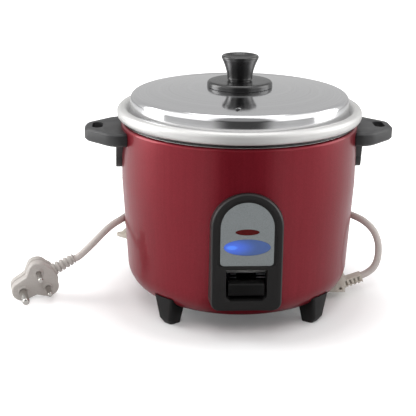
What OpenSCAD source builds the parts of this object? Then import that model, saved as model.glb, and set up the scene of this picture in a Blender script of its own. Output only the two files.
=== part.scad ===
// Rice cooker with a lift-out pan, a loose lid and a magnetic thermostat switch.
// Origin: on the vertical axis at the level of the feet. +Z is up and the front faces -Y.

/* [Shell] */
// Outer radius of the shell at its upper, straight part
shell_r = 111.2; // [108:0.2:114]
// How much narrower the shell is at its bottom
shell_taper = 4.7; // [2:0.1:8]
// Height at which the shell's taper ends
shell_taper_z = 123; // [100:1:140]
// Radius of the shell's bottom corner
shell_corner_r = 26.6; // [20:0.2:30]
// Radius of the shell's rolled top edge
shell_edge_r = 3; // [2:0.5:4]
// Height of the shell's underside above the floor
shell_bottom_z = 15; // [13:0.5:17]
// Height of the top of the shell
shell_top_z = 178; // [174:1:184]
// Thickness of the shell's sheet steel
shell_wall = 0.8; // [0.6:0.1:1.2]

/* [Pan and well] */
// From the shell's outside in to the pan's wall
pan_gap = 11.7; // [10:0.1:14]
// Thickness of the pan's wall
pan_wall = 1.5; // [1:0.1:2]
// Height of the pan's underside above the floor
pan_bottom_z = 82; // [80:0.5:86]
// Radius of the pan's bottom corner
pan_corner_r = 16; // [10:1:22]
// Radius of the pan's rolled rim
rim_bead_r = 4.7; // [3.5:0.1:5]
// Width of the rim outside the pan's wall
rim_w = 15.5; // [14:0.5:18]
// Gap between the pan's wall and the well's liner
liner_gap = 2.3; // [1.5:0.1:3]
// Thickness of the liner
liner_wall = 0.8; // [0.6:0.1:1.2]
// Height of the black ring under the rim
ring_h = 2.2; // [1.5:0.1:4]
// How far the black ring stays inside the shell's outside
ring_inset = 1.6; // [1:0.1:3]

/* [Lid] */
// Height of the lid's side wall
lid_wall_h = 17.5; // [12:0.5:20]
// How far the lid's flat top stays inside the pan's wall
lid_step = 1.5; // [0.5:0.1:4]
// Gap between the lid's lip and the rim's bead
lid_lip_gap = 1.2; // [1:0.1:2]
// Rise of the lid's centre above the edge of its top
lid_dome = 3; // [1:0.5:8]
// Thickness of the lid
lid_wall = 0.8; // [0.6:0.1:1.5]
// Radius of the steam hole in the lid
steam_hole_r = 2; // [1:0.25:4]
// Distance of the steam hole from the axis
steam_hole_at = 73; // [50:1:85]

/* [Knob] */
// Radius of the knob's base disc
knob_base_r = 30.7; // [26:0.1:36]
// Thickness of the knob's base disc
knob_base_h = 9; // [6:0.5:12]
// Radius of the grip's neck
knob_neck_r = 11.7; // [9:0.1:14]
// Radius of the grip's top
knob_top_r = 17.3; // [14:0.1:20]
// Height of the grip
knob_grip_h = 23.6; // [18:0.2:30]

/* [Handles] */
// How far a handle stands out from the shell
handle_out = 34.3; // [28:0.1:42]
// Height of a handle's top
handle_top_z = 173.5; // [165:0.5:175]
// Thickness of a handle at its edge
handle_h = 12.5; // [9:0.5:14]
// Width of a handle at its root
handle_root_w = 76; // [60:1:84]
// Width of a handle at its tip
handle_tip_w = 39; // [32:1:50]
// Thickness of the handle's skin
handle_wall = 3.2; // [2:0.1:4]
// Length of the slot through a handle
handle_slot_l = 22; // [14:1:28]
// Width of the slot through a handle
handle_slot_w = 10; // [6:0.5:12]
// Distance that a handle's leg reaches below its top
handle_leg_drop = 40.5; // [34:0.5:50]
// Thickness of a handle's leg
handle_leg_t = 5.6; // [4:0.2:8]

/* [Control panel] */
// Width of the panel over its ridge
panel_w = 63; // [58:0.5:68]
// Height of the panel's lower edge
panel_low_z = 31; // [28:0.5:34]
// Height of the top of the panel's arch
panel_high_z = 139.5; // [130:0.5:145]
// How far the panel stands out from the shell
panel_proud = 3.8; // [3:0.1:6]
// Extra width of the panel's skirt on each side
panel_skirt = 2.4; // [1:0.2:4]
// Thickness of the panel's front wall
panel_wall = 2.2; // [1.8:0.1:2.8]
// Width of the silver plate
plate_w = 47; // [40:0.5:50]
// Height of the silver plate's lower edge
plate_low_z = 73.5; // [72:0.5:78]
// Height of the silver plate's top
plate_high_z = 131.7; // [122:0.1:134]
// Thickness of the silver plate
plate_t = 0.8; // [0.5:0.1:1]
// Width of the red lens
red_lens_w = 21; // [16:0.5:26]
// Height of the red lens
red_lens_h = 5.4; // [4:0.2:8]
// Height of the red lens's centre above the floor
red_lens_z = 104.8; // [103:0.2:108]
// Width of the blue lens
blue_lens_w = 41; // [34:0.5:43]
// Height of the blue lens
blue_lens_h = 15; // [10:0.5:17]
// Height of the blue lens's centre above the floor
blue_lens_z = 90.8; // [86:0.2:92]

/* [Switch] */
// Width of the switch recess
recess_w = 36.5; // [33:0.5:40]
// Height of the recess's lower edge
recess_low_z = 40.5; // [38:0.5:42]
// Height of the recess's upper edge
recess_high_z = 70; // [68:0.5:71]
// Width of the switch paddle
paddle_w = 32; // [26:1:33]
// Height of the lever's pivot above the floor
pivot_z = 50; // [47:0.5:52]
// Distance from the axis to the lever's pivot
pivot_y = 58; // [52:1:64]
// Radius of the pivot pin
pivot_pin_r = 2; // [1.5:0.1:2.5]
// Radial clearance of the lever on its pin
pivot_clearance = 0.05; // [0.02:0.01:0.1]
// Width of the lever
lever_w = 12; // [9:0.5:14]
// Thickness of the lever
lever_t = 1.6; // [1.2:0.1:2]

/* [Heater and thermostat] */
// Radius of the heating plate
plate_r = 82; // [76:0.5:84]
// Thickness of the heating plate
plate_h = 10; // [8:0.5:12]
// Radius of the heating element's sheath
heater_r = 3.6; // [3:0.1:4]
// Radius of the ring that the heating element follows
heater_ring_r = 60; // [50:1:64]
// Radius of the thermostat's cap
sensor_r = 17; // [14:0.5:19]
// Height of the thermostat's cap
sensor_h = 7.7; // [6:0.1:9]
// Travel of the thermostat's cap below its rest
sensor_travel = 1.5; // [1:0.1:2]
// Radius of the magnet
magnet_r = 12; // [9:0.5:12.5]
// Height of the magnet
magnet_h = 5; // [4:0.5:6]
// Radius of the magnet's rod
rod_r = 2.5; // [2:0.1:3]
// Wire diameter of the thermostat's spring
spring_wire = 1; // [0.8:0.1:1.2]
// Number of turns of the thermostat's spring
spring_turns = 5; // [4:1:7]

/* [Base] */
// Thickness of the bottom plate
bottom_t = 1.2; // [0.8:0.1:1.6]
// From the shell's bottom radius in to a foot's middle
foot_in = 14.5; // [12:0.5:20]
// Width of a foot at its top
foot_top_w = 25; // [22:0.5:28]
// Width of a foot's sole
foot_sole_w = 13; // [10:0.5:16]

/* [Mains lead] */
// Diameter of the lead
cord_d = 7; // [6:0.1:8]
// Mean radius of the coil of spare lead
coil_r = 39; // [35:1:42]
// Number of layers in the coil
coil_layers = 3; // [2:1:4]
// Thickness of the plug's body
plug_t = 17; // [15:0.5:20]
// Radius of the plug's lobes
plug_lobe_r = 11; // [10:0.5:12]
// Distance between the two line pins
line_pitch = 19.05; // [19:0.05:19.1]
// Distance from the earth pin to the line between the line pins
earth_pitch = 22.2; // [22:0.1:22.4]
// Radius of the line pins
line_pin_r = 2.54; // [2.5:0.01:2.6]
// Radius of the earth pin
earth_pin_r = 3.53; // [3.5:0.01:3.6]
// Length of the line pins
line_pin_l = 14.9; // [14:0.1:16]
// Length of the earth pin
earth_pin_l = 20.6; // [20:0.1:21.5]

/* [Hidden] */
$fn = 96;
fine = 32;          // facets of small round forms
coarse = 24;        // facets of what a hull rounds
seat = 0.3;         // clearance between a resting piece and its seat
slide_gap = 0.5;    // clearance round a piece that slides
over = 1;           // how far a cutter runs past a face
skin = 0.01;        // thickness of a slice inside a hull

// Well and pan
shell_low_r = shell_r - shell_taper;
pan_r = shell_r - pan_gap;
liner_r = pan_r + liner_gap + liner_wall;
flange_t = 0.8;
liner_flange_z = shell_top_z;
ring_z = liner_flange_z + flange_t;
ring_r = shell_r - ring_inset;
ring_gap = 4.4;      // distance from the pan's wall to the black ring
rim_r = pan_r + rim_w;
rim_drop = 2;         // how much taller than round the bead is, on its outside
rim_bead_z = ring_z + ring_h + rim_bead_r + rim_drop + seat + 0.1;
rim_top_z = rim_bead_z + rim_bead_r;
rim_bead_at = rim_r - rim_bead_r;
liner_floor_z = pan_bottom_z - 22;
liner_floor_r = 58;
plate_top_z = pan_bottom_z - seat;
plate_low = plate_top_z - plate_h;
post_at = 70;
post_r = 4;
heater_leg_angles = [285, 255];
post_angles = [30, 150, 270];

// Lid and knob
lid_top_r = pan_r - lid_step;
lid_r = rim_bead_at - rim_bead_r - lid_lip_gap;
lid_flange_z = rim_bead_z - 1.6;
lid_edge_z = lid_flange_z + lid_wall_h;
lid_top_z = lid_edge_z + lid_dome;
knob_base_z = lid_top_z + seat / 3;
knob_grip_z = knob_base_z + knob_base_h;
knob_top_z = knob_grip_z + knob_grip_h;
knob_screw_r = 2;

// Panel
handle_reach = shell_r + handle_out;
foot_at = shell_low_r - foot_in;
bottom_r = shell_low_r - shell_corner_r + 0.1;
panel_front = shell_r + panel_proud;
panel_y = -panel_front;
plate_y = panel_y + 0.5;
groove_w = 2.8;        // width of the channel round the plate
ridge_r = panel_w / 2;
panel_corner_r = 8;
boss_at = 26;
panel_boss_z = [44, 110];
window_w = 30;
window_low_z = blue_lens_z - 4;
window_high_z = red_lens_z + 2;
board_y = -liner_r - 2.6;
lamp_r = 2.4;

// Switch
pivot = [0, -pivot_y, pivot_z];
paddle_back = panel_front - 16;
paddle_front = panel_front - 0.8;
paddle_top_z = pivot_z + 6.8;
paddle_low_z = pivot_z - 5;
lever_low_z = pivot_z - lever_t / 2;
fork_gap = 0.9;
bracket_in = lever_w / 2 + 5;   // from the middle to the bracket's inner face
collar_r = 5;
collar_h = 1.2;

// Thermostat
sensor_z = plate_top_z - sensor_h;
sensor_skirt = 1.2;
cup_r = sensor_r + slide_gap;
cup_wall = 1.2;
cup_floor_z = plate_low - 15;
magnet_z = sensor_z - 3.6;
ferrite_z = magnet_z + magnet_h + sensor_travel + seat;
rod_low_z = pivot_z - 7;
spring_r = sensor_r - sensor_skirt / 2;

// Base
bottom_z = shell_bottom_z - bottom_t;
flange_in_r = bottom_r - 8;
floor_z = shell_bottom_z + shell_wall;

// Cord hook, gland and lead
hook_angle = 165;
hook_shelf_z = 52.5;
hook_top_z = 65.1;
gland_w = 26;
gland_out = shell_low_r + 0.5;
gland_low_z = 6.5;
gland_h = 15.5;
relief_rise = 21.5;
relief_w = 12;
relief_h = 10;
relief_l = 19;
relief_from = [gland_out, 0, 13.6];
lead_scale = shell_r / 111.2;     // the lead is laid round a shell of 111.2 mm
coil_at = [0, 168 * lead_scale, 0];
coil_h = coil_layers * cord_d + 3.5;

plug_yaw = 14;
plug_pitch = 10;
plug_roll = -28;
plug_relief_l = 22;
plug_bulge = 3;
plug_relief_from = plug_lobe_r + plug_bulge;
pin_shank_l = 8;
pin_step = 0.6;
pin_places = [[0, line_pitch / 2], [0, -line_pitch / 2], [-earth_pitch, 0]];

// Moves a point of the lead with the shell.
function on_lead(p) = [p[0] * lead_scale, p[1] * lead_scale, p[2]];

inlet_points = [
    [131, 0, 23.4], [137, 0, 28.5], [140.5, 1, 36.5], [141.5, 3, 46], [140.5, 5, 54], [137.5, 8, 61.5],
    [132.5, 12, 67.5], [125.5, 18, 71.8], [118.5, 26, 73.3], [112, 37, 72.8], [105, 51, 70], [97, 65, 65],
    [88, 79, 58], [78, 93, 49], [68, 106, 38.5], [60, 117, 27], [54, 127, 16.5], [48, 138, 8.5],
    [43, 150, 4.2]
];
inlet_route = concat(
    [[gland_out + 17.8, 0, 20.6]], [for (p = inlet_points) on_lead(p)], [[coil_r + 0.2, coil_at[1] - 5, 3.6]]
);
plug_points = [
    [-159.5, 3.1, 38.8], [-153.4, 4.2, 38.8], [-148.1, 6.5, 43.7], [-142.2, 9.5, 49.6], [-136.3, 12.5, 55.4], [-130.5, 16, 61.3],
    [-124.6, 20, 66.6], [-118.8, 24.5, 70.2], [-113, 30, 70.9], [-110.5, 38, 69.9], [-106, 49, 67.8], [-101, 62, 63.5],
    [-94, 77, 57.5], [-86, 92, 50], [-77, 107, 42], [-67.5, 121, 34.5], [-58, 135, 28], [-49.5, 148, 23.4]
];
plug_route = concat([for (p = plug_points) on_lead(p)], [[-coil_r - 3.6, coil_at[1] - 8, 21]]);

// Points along an arc, from one angle to another.
function arc(x, y, r, from, to, n) =
    [for (i = [0:n]) [x + r * cos(from + (to - from) * i / n), y + r * sin(from + (to - from) * i / n)]];

// A list of points in the opposite order.
function backwards(points) = [for (i = [len(points) - 1:-1:0]) points[i]];

// The shell's side, drawn from its bottom flange to its top edge and set inwards by a wall.
function shell_side(in) = concat(
    arc(shell_low_r - shell_corner_r, shell_bottom_z + shell_corner_r, shell_corner_r - in, -90, 0, 10),
    [[shell_r - 0.8 - in, shell_taper_z - 28], [shell_r - in, shell_taper_z]],
    arc(shell_r - shell_edge_r, shell_top_z - shell_edge_r, shell_edge_r - in, 0, 90, 5)
);

// The outer form of the shell as one solid, which cuts what is fixed to it.
module shell_form(grow = 0) {
    rotate_extrude()
        polygon(concat([[0, shell_bottom_z - grow]], shell_side(-grow), [[0, shell_top_z + grow]]));
}

// Radius of the shell's outside at a height.
function shell_r_at(z) =
    let (low = shell_bottom_z + shell_corner_r, mid = shell_taper_z - 28)
    z < low
        ? shell_low_r - shell_corner_r + sqrt(pow(shell_corner_r, 2) - pow(low - z, 2))
        : z < mid
            ? shell_low_r + (shell_r - 0.8 - shell_low_r) * (z - low) / (mid - low)
            : z < shell_taper_z ? shell_r - 0.8 * (shell_taper_z - z) / 28 : shell_r;

// Copies its children round the axis.
module around(angles) {
    for (a = angles)
        rotate([0, 0, a])
            children();
}

// A pan-head screw along +Z whose head's underside is at z = 0.
module screw(shank_r, length) {
    cylinder(r = shank_r * 2, h = shank_r * 1.1);
    translate([0, 0, -length])
        cylinder(r = shank_r, h = length + skin);
}

// A round tube swept along a list of points.
module sweep(route, d, sides, side_axis) {
    last = len(route) - 1;
    along = [for (i = [0:last]) let (t = route[min(i + 1, last)] - route[max(i - 1, 0)]) t / norm(t)];
    across = [for (t = along) let (n = cross(t, side_axis)) n / norm(n)];
    rings = [for (i = [0:last], k = [0:sides - 1])
        let (a = 360 * k / sides, up = cross(along[i], across[i]))
        route[i] + d / 2 * (cos(a) * across[i] + sin(a) * up)];
    walls = [for (i = [0:last - 1], k = [0:sides - 1])
        let (next = (k + 1) % sides)
        [i * sides + k, i * sides + next, (i + 1) * sides + next, (i + 1) * sides + k]];
    near = [[for (k = [sides - 1:-1:0]) k]];
    far = [[for (k = [0:sides - 1]) last * sides + k]];
    polyhedron(rings, concat(walls, near, far), convexity = 10);
}

/* ---- Body ---- */

module outer_shell() {
    color([0.42, 0.07, 0.09])
        difference() {
            rotate_extrude()
                polygon(concat(
                    [[flange_in_r, shell_bottom_z]],
                    shell_side(0),
                    [[shell_r - shell_edge_r - 4, shell_top_z], [shell_r - shell_edge_r - 4, shell_top_z - shell_wall]],
                    backwards(shell_side(shell_wall)),
                    [[flange_in_r, shell_bottom_z + shell_wall]]
                ));
            translate([-recess_w / 2 - 2, -shell_r - over, recess_low_z - 2])
                cube([recess_w + 4, 20, recess_high_z - recess_low_z + 4]);
            translate([-window_w / 2, -shell_r - over, window_low_z])
                cube([window_w, 20, window_high_z - window_low_z]);
            at_panel_screws()
                cylinder(r = 1.8, h = 40, center = true);
            at_handle_screws()
                cylinder(r = 2.2, h = 20, center = true);
            at_hook_screw()
                cylinder(r = 1.8, h = 20, center = true);
            at_bottom_screws()
                cylinder(r = 1.8, h = 10, center = true);
            at_foot_screws()
                cylinder(r = 1.8, h = 60, center = true);
            translate([gland_out - 20, -6, shell_bottom_z - over])
                cube([8, 12, 14]);
        }
}

module body_ring() {
    color([0.07, 0.07, 0.07])
        rotate_extrude()
            polygon(concat(
                [[pan_r + ring_gap, ring_z]],
                [[ring_r, ring_z]],
                arc(ring_r - 1, ring_z + ring_h - 1, 1, 0, 90, 4),
                [[pan_r + 7, ring_z + ring_h], [pan_r + ring_gap, ring_z + 1.4]]
            ));
}

module inner_liner() {
    in_r = liner_r - liner_wall;
    color([0.75, 0.76, 0.77])
        difference() {
            rotate_extrude()
                polygon(concat(
                    [[liner_floor_r, liner_floor_z]],
                    arc(liner_r - 8, liner_floor_z + 8, 8, -90, 0, 5),
                    [[liner_r, liner_flange_z], [ring_r - 1.6, liner_flange_z], [ring_r - 1.6, liner_flange_z + flange_t]],
                    [[in_r, liner_flange_z + flange_t]],
                    arc(in_r - 7.2, liner_floor_z + 8, 7.2, 0, -90, 5),
                    [[liner_floor_r, liner_floor_z + liner_wall]]
                ));
            around(post_angles)
                translate([post_at, 0, liner_floor_z - over])
                    cylinder(r = 2, h = 4);
            around(heater_leg_angles)
                translate([heater_ring_r, 0, liner_floor_z - over])
                    cylinder(r = heater_r + slide_gap, h = 4);
        }
}

/* ---- Heater ---- */

module heating_plate() {
    color([0.72, 0.73, 0.74])
        difference() {
            rotate_extrude()
                polygon(concat(
                    [[cup_r, plate_low], [plate_r - 6, plate_low], [plate_r, plate_low + 5]],
                    arc(plate_r - 2, plate_top_z - 2, 2, 0, 90, 3),
                    [[cup_r, plate_top_z]]
                ));
            rotate_extrude()
                translate([heater_ring_r, plate_low])
                    circle(r = heater_r, $fn = fine);
            around(post_angles)
                translate([post_at, 0, plate_low - over])
                    cylinder(r = 1.5, h = 7);
            around([60, 240])
                translate([cup_r + 6, 0, plate_low - over])
                    cylinder(r = 1.2, h = 6);
        }
}

module heater_element() {
    color([0.45, 0.45, 0.47]) {
        rotate([0, 0, 285])
            rotate_extrude(angle = 330)
                translate([heater_ring_r, plate_low])
                    circle(r = heater_r - 0.05, $fn = fine);
        around(heater_leg_angles)
            translate([heater_ring_r, 0, plate_low - 14])
                cylinder(r = heater_r - 0.05, h = 14);
    }
}

module plate_posts() {
    color([0.6, 0.6, 0.62])
        around(post_angles)
            translate([post_at, 0, liner_floor_z + liner_wall])
                difference() {
                    cylinder(r = post_r, h = plate_low - liner_floor_z - liner_wall);
                    translate([0, 0, -over])
                        cylinder(r = 2, h = plate_h * 3);
                }
}

module post_screws() {
    color([0.7, 0.7, 0.72])
        around(post_angles)
            translate([post_at, 0, liner_floor_z])
                mirror([0, 0, 1])
                    screw(1.5, 16);
}

/* ---- Base ---- */

module at_bottom_screws() {
    around([45, 135, 225, 315])
        translate([bottom_r - 4, 0, shell_bottom_z])
            children();
}

module bottom_plate() {
    color([0.62, 0.63, 0.64])
        difference() {
            translate([0, 0, bottom_z])
                cylinder(r = bottom_r, h = bottom_t);
            for (row = [-2:2])
                for (x = [-30, 0, 30])
                    translate([x - 9, row * 9 + 24, bottom_z - over])
                        cube([18, 3, bottom_t + 2 * over]);
            at_bottom_screws()
                cylinder(r = 1.6, h = 10, center = true);
            for (side = [-1, 1])
                translate([side * (lever_w / 2 + 6), -pivot_y, bottom_z - over])
                    cylinder(r = 1.6, h = bottom_t + 2 * over);
        }
}

module bottom_screws() {
    color([0.7, 0.7, 0.72])
        at_bottom_screws()
            translate([0, 0, -bottom_t])
                mirror([0, 0, 1])
                    screw(1.5, 5);
}

module at_foot_screws() {
    around([45, 135, 225, 315])
        translate([foot_at, 0, 0])
            children();
}

// One foot: a tapered block under the shell's corner, with a pocket for its screw.
module foot(angle) {
    top_z = shell_bottom_z + 13;
    color([0.06, 0.06, 0.06])
        difference() {
            rotate([0, 0, angle])
                hull() {
                    for (side = [-1, 1]) {
                        translate([foot_at - 3, side * (foot_sole_w / 2 - 3), 0])
                            cylinder(r = 3, h = skin, $fn = fine);
                        translate([foot_at + 3, side * (foot_sole_w / 2 - 4), 0])
                            cylinder(r = 3, h = skin, $fn = fine);
                        translate([foot_at + 7, side * (foot_sole_w / 2 - 2), 6])
                            cylinder(r = 3, h = skin, $fn = fine);
                        translate([foot_at - 6, side * (foot_top_w / 2 - 3), top_z])
                            cylinder(r = 3, h = skin, $fn = fine);
                        translate([foot_at + 9, side * (foot_top_w / 2 - 4), top_z])
                            cylinder(r = 3, h = skin, $fn = fine);
                    }
                }
            shell_form();
            rotate([0, 0, angle])
                translate([foot_at, 0, -over]) {
                    cylinder(r = 4, h = 8);
                    cylinder(r = 1.8, h = 40);
                }
        }
}

module foot_screws() {
    color([0.7, 0.7, 0.72])
        at_foot_screws()
            translate([0, 0, 7])
                mirror([0, 0, 1])
                    screw(1.5, 16);
}

/* ---- Handles ---- */

// The handle's block: a hull of slices, each given as its height and its inset.
module handle_block(slices) {
    tip_r = 14;
    root_r = 20;
    hull()
        for (slice = slices)
            for (side = [-1, 1]) {
                translate([handle_reach - tip_r, side * (handle_tip_w / 2 - tip_r), slice[0]])
                    cylinder(r = tip_r - slice[1], h = skin, $fn = coarse);
                translate([shell_r, side * (handle_root_w / 2 - root_r), slice[0]])
                    cylinder(r = root_r - slice[1], h = skin, $fn = coarse);
            }
}

module handle_slot(grow, low, high) {
    for (side = [-1, 1])
        translate([handle_reach - 12, side * (handle_slot_l - handle_slot_w) / 2, low])
            cylinder(r = handle_slot_w / 2 + grow, h = high - low, $fn = fine);
    translate([handle_reach - 12 - handle_slot_w / 2 - grow, -(handle_slot_l - handle_slot_w) / 2, low])
        cube([handle_slot_w + 2 * grow, handle_slot_l - handle_slot_w, high - low]);
}

// The leg is a tongue that follows the shell, with a fillet up to the handle's underside.
module handle_leg() {
    leg_end_r = 12;
    low = handle_top_z - handle_leg_drop;
    intersection() {
        translate([0, 0, low])
            cylinder(r = shell_r + handle_leg_t, h = handle_leg_drop - 1);
        translate([shell_r - 20, 0, 0])
            rotate([90, 0, 90])
                linear_extrude(40) {
                    translate([0, low + leg_end_r])
                        circle(r = leg_end_r, $fn = fine);
                    polygon([
                        [-leg_end_r, low + leg_end_r], [leg_end_r, low + leg_end_r],
                        [handle_root_w / 3, handle_top_z - handle_h + 2], [handle_root_w / 3, handle_top_z - 1],
                        [-handle_root_w / 3, handle_top_z - 1], [-handle_root_w / 3, handle_top_z - handle_h + 2]
                    ]);
                }
    }
    fillet = 7;
    translate([shell_r + handle_leg_t - 2, 0, handle_top_z - handle_h + 1])
        rotate([90, 0, 0])
            linear_extrude(handle_root_w / 2, center = true)
                difference() {
                    translate([0, -fillet])
                        square([fillet, fillet]);
                    translate([fillet, -fillet])
                        circle(r = fillet, $fn = fine);
                }
}

module handle() {
    low = handle_top_z - handle_h;
    soft = 2;
    color([0.13, 0.13, 0.13])
        difference() {
            union() {
                difference() {
                    handle_block([[low, soft], [low + soft, 0], [handle_top_z - soft, 0], [handle_top_z, soft]]);
                    handle_block([[low - over, handle_wall], [handle_top_z - handle_wall, handle_wall]]);
                }
                handle_leg();
                handle_slot(1.6, low + 1, handle_top_z - 1);
            }
            cylinder(r = shell_r, h = shell_top_z);
            handle_slot(0, low - over, handle_top_z + over);
            for (z = [low - 20, low - 5])
                translate([shell_r - over, 0, z])
                    rotate([0, 90, 0])
                        cylinder(r = 1.55, h = handle_leg_t);
        }
}

module at_handle_screws() {
    for (side = [0, 180])
        rotate([0, 0, side])
            for (z = [handle_top_z - handle_h - 20, handle_top_z - handle_h - 5])
                translate([shell_r - shell_wall - 0.1, 0, z])
                    rotate([0, -90, 0])
                        children();
}

module handle_screws() {
    color([0.7, 0.7, 0.72])
        at_handle_screws()
            screw(1.5, 5);
}

/* ---- Control panel ---- */

// The arched outline of the panel or plate, extruded along Y.
module arch(width, low, high, corner, back, front) {
    translate([0, front, 0])
        rotate([90, 0, 0])
            mirror([0, 0, 1])
                linear_extrude(back - front)
                    union() {
                        translate([0, high - width / 2])
                            circle(r = width / 2);
                        translate([-width / 2, low + corner])
                            square([width, high - low - width / 2 - corner]);
                        translate([-width / 2 + corner, low])
                            square([width - 2 * corner, 2 * corner]);
                        for (side = [-1, 1])
                            translate([side * (width / 2 - corner), low + corner])
                                circle(r = corner, $fn = fine);
                    }
}

// Thin discs at the panel's arch and corners, for the hull of its moulded form.
module panel_slice(inset, y) {
    translate([0, y, panel_high_z - ridge_r])
        rotate([90, 0, 0])
            cylinder(r = ridge_r - inset, h = skin, $fn = 2 * fine);
    for (side = [-1, 1])
        translate([side * (ridge_r - panel_corner_r), y, panel_low_z + panel_corner_r])
            rotate([90, 0, 0])
                cylinder(r = panel_corner_r - inset, h = skin, $fn = fine);
}

module at_panel_screws() {
    for (side = [-1, 1])
        for (z = panel_boss_z)
            translate([side * boss_at, -shell_r_at(z) + 6, z])
                rotate([-90, 0, 0])
                    children();
}

// The switch recess's outline, with its lower corners cut off.
module recess_form(grow, from, to) {
    cut = 4;
    half = recess_w / 2 + grow;
    translate([0, from, 0])
        rotate([90, 0, 0])
            mirror([0, 0, 1])
                linear_extrude(to - from)
                    polygon([
                        [-half, recess_high_z + grow], [half, recess_high_z + grow],
                        [half, recess_low_z + cut - grow], [half - cut, recess_low_z - grow],
                        [cut - half, recess_low_z - grow], [-half, recess_low_z + cut - grow]
                    ]);
}

module panel_frame() {
    back = -shell_low_r + 12;
    color([0.12, 0.12, 0.12])
        difference() {
            union() {
                difference() {
                    hull() {
                        panel_slice(-panel_skirt, back);
                        panel_slice(0, panel_y + 1.2);
                        panel_slice(1.2, panel_y + skin);
                    }
                    hull() {
                        panel_slice(panel_wall - panel_skirt, back + over);
                        panel_slice(panel_wall + 1.2, panel_y + panel_wall + 1.2);
                    }
                }
                difference() {
                    recess_form(1.6, panel_y + 1.4, back);
                    translate([-50, back - 0.5, 0])
                        cube([100, 20, 200]);
                }
                intersection() {
                    at_panel_screws()
                        cylinder(r = 3, h = 24, center = true, $fn = fine);
                    hull() {
                        panel_slice(-panel_skirt, back);
                        panel_slice(0, panel_y + panel_wall);
                    }
                }
            }
            difference() {
                shell_form();
                recess_form(1.6, panel_y, back + 4);
            }
            recess_form(0, panel_y - over, back + over);
            arch(plate_w + 0.2, plate_low_z - 0.1, plate_high_z + 0.1, 3.5, plate_y + plate_t, panel_y - over);
            translate([-window_w / 2, panel_y - over, window_low_z])
                cube([window_w, 20, window_high_z - window_low_z]);
            translate([0, panel_y - over, blue_lens_z])
                oval(blue_lens_w, blue_lens_h, 20);
            translate([0, panel_y - over, red_lens_z])
                oval(red_lens_w, red_lens_h, 20);
            intersection() {
                at_panel_screws()
                    cylinder(r = 1.25, h = 2 * (panel_front - shell_low_r + 2), center = true, $fn = fine);
                translate([-panel_w, panel_y + 2.6, 0])
                    cube([2 * panel_w, 60, panel_high_z]);
            }
            difference() {
                arch(plate_w + 2 * groove_w, plate_low_z - 0.1, plate_high_z + groove_w, 3.5, panel_y + 1.5, panel_y - over);
                translate([-plate_w, panel_y - 2 * over, 0])
                    cube([2 * plate_w, 10, plate_low_z - 0.1]);
            }
            translate([0, 0, liner_floor_z - seat])
                cylinder(r = liner_r + seat, h = panel_high_z);
        }
}

module panel_screws() {
    color([0.7, 0.7, 0.72])
        at_panel_screws()
            translate([0, 0, -1])
                screw(1.2, 6);
}

// A flat oval bar along +Y.
module oval(width, height, length) {
    rotate([-90, 0, 0])
        linear_extrude(length)
            scale([width / height, 1])
                circle(d = height, $fn = 2 * fine);
}

module panel_plate() {
    color([0.66, 0.68, 0.69])
        difference() {
            arch(plate_w, plate_low_z, plate_high_z, 3.5, plate_y + plate_t, plate_y);
            translate([0, plate_y - over, red_lens_z])
                oval(red_lens_w + 0.2, red_lens_h + 0.2, 4);
            translate([0, plate_y - over, blue_lens_z])
                oval(blue_lens_w + 0.2, blue_lens_h + 0.2, 4);
        }
}

module red_lens() {
    color([0.32, 0.03, 0.03])
        translate([0, plate_y, red_lens_z])
            oval(red_lens_w, red_lens_h, 2);
}

module blue_lens() {
    color([0.4, 0.5, 0.85])
        translate([0, plate_y, blue_lens_z])
            oval(blue_lens_w, blue_lens_h, 2);
}

module lamp_board() {
    color([0.1, 0.35, 0.15])
        translate([-17, board_y, blue_lens_z - 12])
            cube([34, 1.2, 34]);
}

module lamp(x, z, shade) {
    color(shade)
        translate([x, board_y, z])
            rotate([90, 0, 0])
                cylinder(r = lamp_r, h = -plate_y + board_y - 2.4, $fn = fine);
}

module cooking_lamp() {
    lamp(-window_w / 2 + 4, blue_lens_z, [0.3, 0.5, 1]);
}

module warm_lamp() {
    lamp(0, red_lens_z - 1, [0.8, 0.1, 0.05]);
}

/* ---- Switch ---- */

module lever_bracket() {
    wall = 1.5;
    inner = bracket_in;
    color([0.7, 0.71, 0.72])
        difference() {
            union() {
                for (side = [-1, 1])
                    translate([side > 0 ? inner : -inner - wall, -pivot_y - 9, floor_z - shell_wall])
                        cube([wall, 18, pivot_z - floor_z + shell_wall + 6]);
                translate([-inner - wall, -pivot_y - 9, floor_z - shell_wall])
                    cube([2 * (inner + wall), 18, wall]);
            }
            translate([0, -pivot_y, pivot_z])
                rotate([0, 90, 0])
                    cylinder(r = pivot_pin_r, h = 60, center = true);
        }
}

module pivot_pin() {
    color([0.8, 0.8, 0.82])
        translate(pivot)
            rotate([0, 90, 0])
                cylinder(r = pivot_pin_r, h = lever_w + 18, center = true);
}

module microswitch() {
    body_w = 7;
    body_top = pivot_z - 5;
    color([0.15, 0.15, 0.17]) {
        translate([bracket_in - body_w, -pivot_y - 9, body_top - 15])
            cube([body_w, 18, 15]);
        translate([lever_w / 2 - 1, -pivot_y - 7, body_top - over])
            cylinder(r = 1, h = lever_low_z - seat - body_top + over, $fn = fine);
    }
}

module lever_bar() {
    color([0.78, 0.78, 0.8])
        difference() {
            union() {
                translate([-lever_w / 2, -paddle_back - 6, lever_low_z])
                    cube([lever_w, paddle_back + 6 + collar_r + 2, lever_t]);
                translate(pivot)
                    rotate([0, 90, 0])
                        cylinder(r = pivot_pin_r + 1.4, h = lever_w + 8, center = true);
            }
            translate(pivot)
                rotate([0, 90, 0])
                    cylinder(r = pivot_pin_r + pivot_clearance, h = lever_w + 20, center = true);
            translate([0, 0, lever_low_z - over])
                cylinder(r = rod_r + fork_gap, h = lever_t + 2 * over);
            translate([-rod_r - fork_gap, 0, lever_low_z - over])
                cube([2 * (rod_r + fork_gap), 20, lever_t + 2 * over]);
        }
}

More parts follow.
